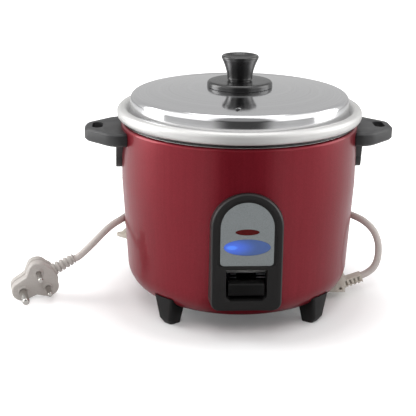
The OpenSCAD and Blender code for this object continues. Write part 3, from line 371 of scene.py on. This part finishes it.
LAMP_BLUE = finish_of("blue_lamp_case", (0.25, 0.42, 0.9), 0.15, grain=600, shade=0.1)
LAMP_RED = finish_of("red_lamp_case", (0.5, 0.03, 0.02), 0.15, grain=600, shade=0.1)
CASE = finish_of("switch_case", (0.02, 0.02, 0.022), 0.45, grain=1500, shade=0.2)
CERAMIC = finish_of("white_insulator", (0.74, 0.72, 0.67), 0.55, grain=800, shade=0.06)
FERRITE = finish_of("ferrite", (0.05, 0.05, 0.055), 0.6, 0.4, grain=1600, shade=0.3)
SPRING = finish_of("spring_wire", (0.6, 0.6, 0.62), 0.2, 1.0, grain=900, shade=0.1)
LEAD = finish_of("grey_lead_jacket", (0.50, 0.455, 0.43), 0.42, grain=700, shade=0.05, relief=0.03)
PLUG = finish_of("pale_plug_moulding", (0.43, 0.40, 0.375), 0.42, grain=900, shade=0.06, relief=0.03)
GLAND = finish_of("pale_gland_moulding", (0.52, 0.48, 0.42), 0.45, grain=900, shade=0.06, relief=0.03)
NICKEL = finish_of("plated_pins", (0.50, 0.485, 0.46), 0.2, 1.0, grain=900, shade=0.06, relief=0.005)
TIE = finish_of("soft_tie", (0.02, 0.02, 0.02), 0.5, grain=1500, shade=0.2)


# ---- lead ----

EXIT_RUN = [
    (124.6, 0, 18.7), (131, 0, 21.9), (137, 0, 27.6), (140.6, 1, 36), (141.5, 3, 46), (140.5, 5, 54),
    (137.5, 8, 61.5), (132.5, 12, 67.5), (125.5, 18, 71.8), (118.5, 26, 73.3), (112, 37, 72.8), (105, 51, 70),
    (97, 65, 65), (88, 79, 58), (78, 93, 49), (68, 106, 38.5), (60, 117, 27), (54, 127, 16.5), (48, 138, 8.5),
    (43, 150, 4.2)]
PLUG_END = (-159.5, 3.1, 38.8)
PLUG_RUN = [
    (-160, 3, 38.9), (-156.8, 3.4, 39.1), (-151.9, 4, 42.8), (-147.9, 5, 46.3), (-143, 6.8, 50.6),
    (-137.2, 9.6, 55.9), (-131.3, 13, 61.1), (-125.5, 17, 65.5), (-119.7, 21, 68.8), (-113.8, 25.5, 70.9),
    (-109.8, 38, 69.9), (-106, 49, 67.8), (-101, 62, 63.5), (-94, 77, 57.5), (-86, 92, 50), (-77, 107, 42),
    (-67.5, 121, 34.5), (-58, 135, 28), (-49.5, 148, 23.4), (-43, 159.2, 21.3)]
LEAD_D = 7
COIL_CENTRE = (0, 168)
COIL_R = 39
COIL_START, COIL_END, COIL_STEP = -6, 176 + 720, 11     # degrees
COIL_LOW = 3.62
COIL_PITCH = LEAD_D + 0.06


def coil_points():
    """Two and a half turns that climb a little more than a diameter each."""
    x, y = COIL_CENTRE
    span = COIL_END - COIL_START
    steps = span // COIL_STEP
    flat = arc(x, y, COIL_R, COIL_START, COIL_END, steps)
    return [(*place, COIL_LOW + COIL_PITCH * span * i / steps / 360) for i, place in enumerate(flat)]


def eased(points):
    """A smooth line through the points, with a few places between each two of them."""
    n = 5
    places = [Vector(p) * MM for p in points]
    line = []
    for i in range(len(places) - 1):
        a, b, c, d = places[max(i - 1, 0)], places[i], places[i + 1], places[min(i + 2, len(places) - 1)]
        for k in range(n):
            t = k / n
            line.append(0.5 * (2 * b + (c - a) * t + (2 * a - 5 * b + 4 * c - d) * t * t
                               + (3 * b - a - 3 * c + d) * t ** 3))
    return line + [places[-1]]


def mains_lead():
    """The whole lead as one round curve, with the length of its centre line."""
    line = eased(EXIT_RUN + coil_points() + PLUG_RUN[::-1])
    curve = bpy.data.curves.new("mains_lead", "CURVE")
    curve.dimensions = "3D"
    curve.bevel_depth = LEAD_D / 2 * MM
    curve.bevel_resolution = 5
    curve.use_fill_caps = True
    spline = curve.splines.new("POLY")
    spline.points.add(len(line) - 1)
    for point, place in zip(spline.points, line):
        point.co = (*place, 1)
    piece = bpy.data.objects.new("mains_lead", curve)
    bpy.context.scene.collection.objects.link(piece)
    spline.use_smooth = True
    length = sum((b - a).length for a, b in zip(line, line[1:]))
    return piece, length


# ---- plug, placed by the lead's end in its sleeve ----

PLUG_T = 17
SLEEVE_AT, SLEEVE_LENGTH = 14, 22       # where the sleeve starts on the plug, and its length
PLUG_HEADING, PLUG_LEAN, PLUG_DIP = (math.radians(angle) for angle in (14, 10, -28))
PLUG_PLACE = (Matrix.Translation(Vector(PLUG_END) * MM) @ Matrix.Rotation(PLUG_HEADING, 4, "Z")
              @ Matrix.Rotation(PLUG_LEAN, 4, "X") @ Matrix.Rotation(PLUG_DIP, 4, "Y")
              @ Matrix.Translation(Vector((-SLEEVE_AT - SLEEVE_LENGTH, -PLUG_T / 2, 0)) * MM))
FACE_ON = PLUG_PLACE @ FRONT_ON
LINE_AT, LINE_R, LINE_LENGTH = 19.05 / 2, 2.54, 14.9
EARTH_AT, EARTH_R, EARTH_LENGTH = -22.2, 3.53, 20.6
LINE_PLACES = [(0, LINE_AT), (0, -LINE_AT)]
EARTH_PLACES = [(EARTH_AT, 0)]


def plug_outline(r):
    """A rounded triangle: a lobe round each pin, and hollow flanks towards the earth pin."""
    upper = arc(0, LINE_AT, r, 8, 112, 10)
    upper += [(-8.5, LINE_AT + r - 4.6), (-13.0, r + 0.6)]
    earth = arc(EARTH_AT, 0, r, 112, 248, 12)
    lower = [(x, -y) for x, y in reversed(upper)]
    nose = [(r + 2.6, -6), (r + 3, 0), (r + 2.6, 6)]
    return upper + earth + lower + nose


def on_face(name, outline, x, y):
    """A turned piece that stands on the plug's pin face."""
    return turned(name, outline, 40, place=FACE_ON @ Matrix.Translation((x * MM, y * MM, 0)))


def plug():
    """Front, waist and back of the moulding, with a ring round each pin."""
    layers = [slab("plug_front", plug_outline(11), -7.5, 0, 1.5, 4, place=FACE_ON),
              slab("plug_waist", plug_outline(9.7), -9.6, -7.2, place=FACE_ON),
              slab("plug_back", plug_outline(10.8), -PLUG_T, -9.3, 2.6, 5, place=FACE_ON)]
    for places, r in ((LINE_PLACES, LINE_R), (EARTH_PLACES, EARTH_R)):
        ring = [(r + 0.15, -1), (r + 0.15, 0.9)] + arc(r + 1.1, 0.5, 0.7, 120, 20, 4)
        ring += [(r + 2.4, -0.1), (r + 2.4, -1)]
        layers += [on_face("pin_ring", ring, x, y) for x, y in places]
    return joined("plug_moulding", layers)


def pins(name, places, r, length):
    """Round pins with a thinner root in the moulding and a rounded tip."""
    outline = [(0, -7.6), (r - 0.6, -7.6), (r - 0.6, -0.4), (r, 0.2), (r, length - r * 0.7)]
    outline += arc(r * 0.45, length - r * 0.55, r * 0.55, 0, 90, 5) + [(0, length)]
    return joined(name, [on_face(name, outline, x, y) for x, y in places])


def plug_relief():
    """Ribbed sleeve that thins towards the lead."""
    root_r, pitch, taper = 5.9, 4.35, 0.22
    outline = [(0, -3), (root_r, -3)]
    for i in range(5):
        z = 0.6 + i * pitch
        r = root_r - taper * i
        outline += [(r, z)] + arc(r - 0.6, z + 0.5, 0.6, 0, 80, 3) + [(3.8, z + 1.1), (3.75, z + 2.2)]
        outline += arc(r - 0.8, z + 2.9, 0.6, -80, 0, 3)
    outline += [(4.6, SLEEVE_LENGTH - 0.4), (4.2, SLEEVE_LENGTH), (0, SLEEVE_LENGTH)]
    start = PLUG_PLACE @ Matrix.Translation(Vector((SLEEVE_AT, PLUG_T / 2, 0)) * MM)
    return turned("plug_sleeve", outline, 40, place=start @ Matrix.Rotation(math.radians(90), 4, "Y"))


lead, lead_length = mains_lead()
fit(lead, "cooker", LEAD, "lead_pvc", "cord_inlet_run", "cord_coil", "cord_plug_run")
plug_piece = fit(plug(), "cooker", PLUG, "plug_pvc", "plug_body")
sleeve_piece = fit(plug_relief(), "cooker", PLUG, "plug_pvc", "plug_relief")
line_piece = fit(pins("live_pins", LINE_PLACES, LINE_R, LINE_LENGTH), "cooker", NICKEL, "brass_pins",
                 "line_pins")
earth_piece = fit(pins("long_pin", EARTH_PLACES, EARTH_R, EARTH_LENGTH), "cooker", NICKEL, "brass_pins",
                  "earth_pin")
tie_piece = fit(softened("coil_band", "coil_tie", 0.3), "cooker", TIE, "tie", "coil_tie")


# ---- body, pan, lid and knob ----

SHELL_R, CORNER_END_R = 111.2, 106.5        # at the upright band, and where the bottom's corner ends
CORNER_R, CORNER_Z = 26.6, 41.6
BAND_Z, SHELL_TOP = 123, 178
TOP_EDGE_R = 3
SHELL_WALL = 0.8
SHELL_LOW = CORNER_Z - CORNER_R
PANEL_OPENING = (20, 38.5, 72)      # half the width, low and high
BOTTOM_HOLE_R, TOP_HOLE_R = 72, 104.2
LID_CROWN = 211
KNOB_LOW = 216.1        # where the grip stands on the knob's foot
ENTRY_FOOT, ENTRY_RISE = (107, 0, 12.2), 19     # the entry sleeve's lower end, and its slope in degrees


def shell_side(inset):
    """The shell's outside, from the bottom's edge to the rolled top edge, or the same line further in."""
    side = arc(CORNER_END_R - CORNER_R, CORNER_Z, CORNER_R - inset, -90, 0, 18)
    for part in (i / 12 for i in range(1, 12)):
        r = CORNER_END_R + (SHELL_R - CORNER_END_R) * part ** 0.96
        side.append((r - inset, CORNER_Z + (BAND_Z - CORNER_Z) * part))
    side += [(SHELL_R - inset, z) for z in (BAND_Z, 140, 158)]
    return side + arc(SHELL_R - TOP_EDGE_R, SHELL_TOP - TOP_EDGE_R, TOP_EDGE_R - inset, 0, 90, 8)


def body_shell():
    """The body's wall, open at the top and below, with the opening behind the panel."""
    outline = [(BOTTOM_HOLE_R, SHELL_LOW)] + shell_side(0)
    outline += [(TOP_HOLE_R, SHELL_TOP), (TOP_HOLE_R, SHELL_TOP - SHELL_WALL)] + shell_side(SHELL_WALL)[::-1]
    outline += [(BOTTOM_HOLE_R, SHELL_LOW + SHELL_WALL), (BOTTOM_HOLE_R, SHELL_LOW)]
    shell = turned("painted_shell", outline, 180)
    half, low, high = PANEL_OPENING
    corners = [(-half, low), (half, low), (half, high), (-half, high)]
    return cut(shell, slab("opening", corners, 90, 115, place=FRONT_ON))


def gland_sleeve():
    """Slotted block that rises from the gland, with its side and bottom slots cut in turn."""
    place = Matrix.Translation(Vector(ENTRY_FOOT) * MM) @ Matrix.Rotation(math.radians(-ENTRY_RISE), 4, "Y")
    first, pitch, half = 2.6, 4.2, 0.95
    corners = [(-2.2, -6), (19, -5.4), (19, 5.4), (-2.2, 6)]
    block = slab("gland_sleeve", corners, -4.6, 3.6, 0.7, 3, place=place)
    for i in range(4):
        x = first + i * pitch
        for low, high in ((-8, -2.0), (2.0, 8)):
            corners = [(x - half, low), (x + half, low), (x + half, high), (x - half, high)]
            cut(block, slab("side_slot", corners, -3.0, 2.4, place=place))
        corners = [(x + 0.8, -7), (x + 2.9, -7), (x + 2.9, 3.6), (x + 0.8, 3.6)]
        cut(block, slab("low_slot", corners, -7, -3.3, place=place))
    return block


def black_ring():
    """The ring between the shell's top edge and the pan's bead."""
    inside, outside, low, top = 103.9, 109.6, 178.9, 181
    outline = [(inside, low), (outside, low)] + arc(outside - 1, top - 1, 1, 0, 90, 4)
    outline += [(106.4, top), (inside, 180.2), (inside, low)]
    return turned("black_ring", outline, 144)


def cooking_pan():
    """Pan with a flared throat and a broad rolled bead."""
    low, wall, corner_r, corner_at = 82, 1.5, 16, (83.5, 98)
    outline = [(0, low), (70, low)] + arc(*corner_at, corner_r, -90, 0, 10)
    outline += [(99.5, 172), (99.8, 174.6), (100.8, 177.2), (102.4, 179.6), (104.4, 181.7), (106.4, 183.6)]
    outline += arc(110.3, 186.1, 4.7, -100, 0, 10) + arc(110.3, 188.1, 4.7, 0, 150, 14)
    outline += [(105.3, 187.4), (103.8, 185.2), (101.9, 182.9), (99.9, 179.6), (98.6, 176.2), (98, 172)]
    outline += arc(*corner_at, corner_r - wall, 0, -90, 10) + [(0, low + wall)]
    return turned("cooking_pan", outline, 180)


def lid():
    """Domed lid: a slow dome, a soft shoulder, an upright wall and a small turned-out edge."""
    wall, shoulder_at, shoulder_r = 0.8, (96.6, 199.0), 5.9
    dome = [(r, LID_CROWN - 6.2 * (r / 98) ** 2) for r in (0, 15, 30, 45, 60, 72, 82, 90)]
    outer = dome + arc(*shoulder_at, shoulder_r, 84, 6, 12) + [(102.9, 194.6), (103.1, 190.6)]
    outer += arc(104.1, 189.0, 1.0, 180, 260, 4) + [(104.4, 187.5)]
    inner = [(104.4, 186.7), (103.2, 187.0), (102.5, 188.3), (102.3, 190.6), (102.0, 194)]
    inner += arc(*shoulder_at, shoulder_r - wall, 6, 84, 12) + [(r, z - wall) for r, z in reversed(dome)]
    plate = turned("lid_plate_polished", outer + inner, 180, angle=28)
    vent_r, vent_at = 1.5, (-7.6, -82, 0)
    vent = turned("vent", [(0, 203), (5.7, 203), (vent_r, 207.3), (vent_r, 209), (0, 209), (0, 203)], 24,
                  place=Matrix.Translation(Vector(vent_at) * MM))
    return with_modifier(cut(plate, vent), "WEIGHTED_NORMAL", weight=80, keep_sharp=True)


def knob_foot():
    """Flat round foot that lies on the lid's crown, with a hole for the screw."""
    hole_r = 2.3
    outline = [(hole_r, LID_CROWN), (25, 210.55), (30.0, 210.35)] + arc(30.0, LID_CROWN, 0.6, -60, 0, 3)
    outline += arc(27.6, 213.1, 3.0, 8, 84, 8)
    outline += [(22, 216.0), (14, KNOB_LOW), (hole_r, KNOB_LOW), (hole_r, LID_CROWN)]
    return turned("knob_foot", outline, 96)


def knob():
    """Grip that flares from its neck to a rounded, slightly dished top."""
    outline = [(0, KNOB_LOW), (10.7, KNOB_LOW), (10.7, 217.2)] + arc(11.2, 217.9, 0.6, -60, 20, 3)
    outline += [(11.7 + 5.6 * part ** 1.7, 218.4 + 18.9 * part) for part in (i / 12 for i in range(13))]
    outline += arc(15.7, 238.1, 1.6, -8, 112, 8) + [(13.4, 238.6), (11.2, 237.3), (8, 236.7), (0, 236.5)]
    return turned("knob_grip_turned", outline, 96)


fit(body_shell(), "cooker", RED, "shell_paint", "outer_shell")
fit(black_ring(), "cooker", BLACK, "black_plastic", "body_ring")
fit(cooking_pan(), "pan", SPUN, "pan_aluminium", "inner_pan")
fit(lid(), "lid", STEEL, "stainless", "lid_plate")
fit(knob_foot(), "lid", GLOSS_BLACK, "black_plastic", "knob_base")
fit(knob(), "lid", GLOSS_BLACK, "black_plastic", "knob_grip")
for side in ("left", "right"):
    handle = softened("carry_handle_" + side, "handle_" + side, 0.9, 3)
    fit(handle, "cooker", GREY, "grey_plastic", "handle_" + side)
for corner in ("front_left", "front_right", "rear_left", "rear_right"):
    foot = softened("rubber_foot_" + corner, "foot_" + corner, 0.8)
    fit(foot, "cooker", DULL_BLACK, "black_plastic", "foot_" + corner)
fit(softened("lead_hook", "cord_hook", 0.6), "cooker", GLAND, "plug_pvc", "cord_hook")
fit(softened("lead_gland", "cord_gland", 0.8), "cooker", GLAND, "plug_pvc", "cord_gland")
fit(gland_sleeve(), "cooker", GLAND, "plug_pvc", "cord_relief")


# ---- control panel, drawn from the front ----

PLATE_BACK, PLATE_FACE = 113.7, 114.5       # distances in front of the cooker's middle
LENS_BACK, LENS_T = 112.6, 1.75
LENS_GAP = 0.2


def arch_outline(width, low, high, corner):
    """A plate with a half-round top and two small corners at the bottom."""
    r = width / 2
    return (arc(0, high - r, r, 0, 180, 32) + arc(-r + corner, low + corner, corner, 180, 270, 5)
            + arc(r - corner, low + corner, corner, 270, 360, 5))


def oval_outline(width, height, z):
    """An oval with its middle at height z."""
    n = 48
    turns = [2 * math.pi * i / n for i in range(n)]
    return [(width / 2 * math.cos(a), z + height / 2 * math.sin(a)) for a in turns]


def printed_plate():
    """Silver plate with an oval hole round each lens."""
    plate = slab("silver_plate", arch_outline(47, 73.5, 131.7, 3.5), PLATE_BACK, PLATE_FACE, 0.3, 2,
                 place=FRONT_ON, ends=(False, True))
    for width, height, z in (UPPER_LENS, LOWER_LENS):
        hole = oval_outline(width + LENS_GAP, height + LENS_GAP, z)
        cut(plate, slab("lens_hole", hole, 110, 118, place=FRONT_ON))
    clear_selection()
    plate.select_set(True)
    bpy.context.view_layer.objects.active = plate
    bpy.ops.object.shade_flat()
    return plate


def lens(name, width, height, z):
    """A pillowed oval: extruded, inset and raised in the middle."""
    outline = oval_outline(width, height, z)
    piece = draw_line(name, [(x, y, LENS_BACK) for x, y in outline + outline[:1]])
    bpy.ops.mesh.remove_doubles(threshold=MERGE)
    bpy.ops.mesh.select_all(action="SELECT")
    bpy.ops.mesh.edge_face_add()
    bpy.ops.mesh.extrude_region_move(TRANSFORM_OT_translate={"value": (0, 0, LENS_T * MM)})
    for scale, rise in ((0.985, 0.12), (0.96, 0.1), (0.9, 0.08)):
        bpy.ops.mesh.extrude_region_move(TRANSFORM_OT_translate={"value": (0, 0, rise * MM)})
        bpy.ops.transform.resize(value=(scale, 1 - (1 - scale) * width / height * 0.6, 1),
                                 center_override=(0, z * MM, 113 * MM))
    return close_up(piece, 60, FRONT_ON)


fit(softened("panel_surround", "panel_frame", 0.5, 2), "cooker", FRAME_GREY, "grey_plastic", "panel_frame")
fit(printed_plate(), "cooker", SILVER, "silver_panel", "panel_plate")
fit(lens("upper_lens", *UPPER_LENS), "cooker", RED_GLASS, "red_lens", "red_lens")
fit(lens("lower_lens", *LOWER_LENS), "cooker", BLUE_GLASS, "blue_lens", "blue_lens")
fit(softened("lever_key", "switch_paddle", 0.6, 3), "lever", DULL_BLACK, "black_plastic", "switch_paddle")


# ---- finishes of the pieces that keep the CAD shape ----

NODE_FINISH = {
    SPUN: ["inner_liner"], CAST: ["heating_plate", "sensor_cap"], SHEATH: ["heater_element"],
    ZINC: ["plate_posts", "post_screws", "bottom_plate", "bottom_screws", "foot_screws", "handle_screws",
           "panel_screws", "sensor_bracket", "magnet_rod", "knob_screw", "knob_washer", "hook_screw",
           "gland_screw"],
    BOARD: ["lamp_board"], LAMP_BLUE: ["cooking_lamp"], LAMP_RED: ["warm_lamp"], CASE: ["microswitch"],
    CERAMIC: ["terminal_block", "warm_thermostat", "thermal_fuse"], FERRITE: ["sensor_ferrite", "magnet"],
    SPRING: ["sensor_spring"], DULL_BLACK: ["lever_bracket", "pivot_pin", "lever_bar"]}


def dress(piece, finish):
    """Gives a CAD node its finish and leaves its shape alone."""
    if not piece.material_slots:
        piece.data.materials.append(finish)
    for holder in piece.material_slots:
        holder.link = "OBJECT"
        holder.material = finish


for finish, names in NODE_FINISH.items():
    for name in names:
        dress(nodes[name], finish)


# ---- studio ----

FLOOR_SIZE, FLOOR_Z = 24, -0.0002
COOKER_MIDDLE = (0, 0, 0.1)


def floor_finish():
    """White, with a painted glow for the camera that grows away from the cooker and pales the shadows there,
    darker in the gloss with a painted dark reflection in front of the cooker, and clear from below.
    """
    finish, tree, shader = new_finish("white_floor_painted_glow", 0.0, {"Roughness": 0.7, "Specular IOR Level": 0.1})
    place = add(tree, "TexCoord").outputs["Object"]
    away = worked(tree, "VectorMath", "LENGTH", i0=place).outputs["Value"]
    heading = worked(tree, "VectorMath", "NORMALIZE", i0=place)
    ahead = add(tree, "SeparateXYZ", i0=heading.outputs[0]).outputs[1]
    # Painted reflection: for glossy rays the floor is a little darker everywhere and nearly black in a narrow
    # wedge in front of the cooker, so the shell's front reflects dark.
    painted_dark_in_gloss = ranged(tree, ahead, -0.98, -0.84, 0.05, 0.72, smooth=True)
    path = add(tree, "LightPath")
    shown = add(tree, "Mix", i0=path.outputs["Is Glossy Ray"], i2=0.88, i3=painted_dark_in_gloss)
    tree.links.new(shown.outputs[0], shader.inputs["Base Color"])
    # Painted light: a glow seen by the camera only, faint under the cooker and strong beyond it, so that
    # shadows show only close to the cooker.
    level = ranged(tree, away, 0.12, 0.23, 0.06, 0.6)
    lit = worked(tree, "Math", "MULTIPLY", i0=level, i1=path.outputs["Is Camera Ray"])
    glow = add(tree, "Emission", Color=(1, 1, 1, 1), Strength=lit.outputs[0])
    both = add(tree, "AddShader", i0=shader.outputs[0], i1=glow.outputs[0])
    below = add(tree, "NewGeometry").outputs["Backfacing"]
    clear = add(tree, "BsdfTransparent")
    under = add(tree, "MixShader", i0=below, i1=both.outputs[0], i2=clear.outputs[0])
    tree.links.new(under.outputs[0], tree.nodes["Material Output"].inputs["Surface"])
    return finish


def pale_floor():
    """A large floor just under the feet."""
    clear_selection()
    bpy.ops.mesh.primitive_plane_add(size=FLOOR_SIZE, location=(0, 0, FLOOR_Z))
    floor = bpy.context.object
    floor.name = "studio_floor"
    floor.data.materials.append(floor_finish())


def soft_box(name, place, width, height, power, shows=True):
    """A flat light that faces the cooker, and shows in the gloss or not."""
    data = bpy.data.lights.new(name, "AREA")
    data.shape = "RECTANGLE"
    data.size = width
    data.size_y = height
    data.energy = power
    light = bpy.data.objects.new(name, data)
    bpy.context.scene.collection.objects.link(light)
    light.location = place
    light.visible_glossy = shows
    light.rotation_euler = (Vector(COOKER_MIDDLE) - Vector(place)).to_track_quat("-Z", "Y").to_euler()


def gloss_light(tree):
    """What the gloss shows of the room: dark in front, bright at the sides and softer behind."""
    way = add(tree, "TexCoord").outputs["Generated"]
    height = add(tree, "SeparateXYZ", i0=way).outputs[2]
    flat = worked(tree, "VectorMath", "MULTIPLY", i0=way, i1=(1, 1, 0))
    heading = worked(tree, "VectorMath", "NORMALIZE", i0=flat.outputs[0])
    back = add(tree, "SeparateXYZ", i0=heading.outputs[0]).outputs[1]
    front_level = ranged(tree, height, 0.1, 0.45, 0.07, 0.35)
    rest_level = ranged(tree, back, 0.1, 0.7, 1.55, 0.58)
    aside = ranged(tree, back, -0.92, -0.76, 0.0, 1.0, smooth=True)
    level = add(tree, "Mix", i0=aside, i2=front_level, i3=rest_level)
    return add(tree, "Background", Color=(1, 1, 1, 1), Strength=level.outputs[0])


def room():
    """Even light, with a white background for the camera and a room of its own for the gloss."""
    world = bpy.data.worlds.new("studio_room")
    bpy.context.scene.world = world
    world.use_nodes = True
    tree = world.node_tree
    tree.nodes.clear()
    even = add(tree, "Background", Color=(1, 1, 1, 1), Strength=0.55)
    white = add(tree, "Background", Color=(1, 1, 1, 1), Strength=1.0)
    path = add(tree, "LightPath")
    lit = add(tree, "MixShader", i0=path.outputs["Is Glossy Ray"], i1=even.outputs[0],
              i2=gloss_light(tree).outputs[0])
    seen = worked(tree, "Math", "MAXIMUM", i0=path.outputs["Is Camera Ray"],
                  i1=path.outputs["Is Transmission Ray"])
    final = add(tree, "MixShader", i0=seen.outputs[0], i1=lit.outputs[0], i2=white.outputs[0])
    out = tree.nodes.new("ShaderNodeOutputWorld")
    tree.links.new(final.outputs[0], out.inputs["Surface"])


pale_floor()
room()
soft_box("box_left", (-1.35, 0.25, 0.55), 0.8, 1.2, 15)
soft_box("box_right", (1.35, 0.1, 0.55), 1.0, 1.2, 8)
soft_box("box_top", (0, 0.2, 1.9), 1.3, 1.3, 12)
soft_box("box_front", (-0.3, -1.7, 1.8), 0.9, 0.9, 15, shows=False)
bpy.context.scene.view_settings.view_transform = "Standard"
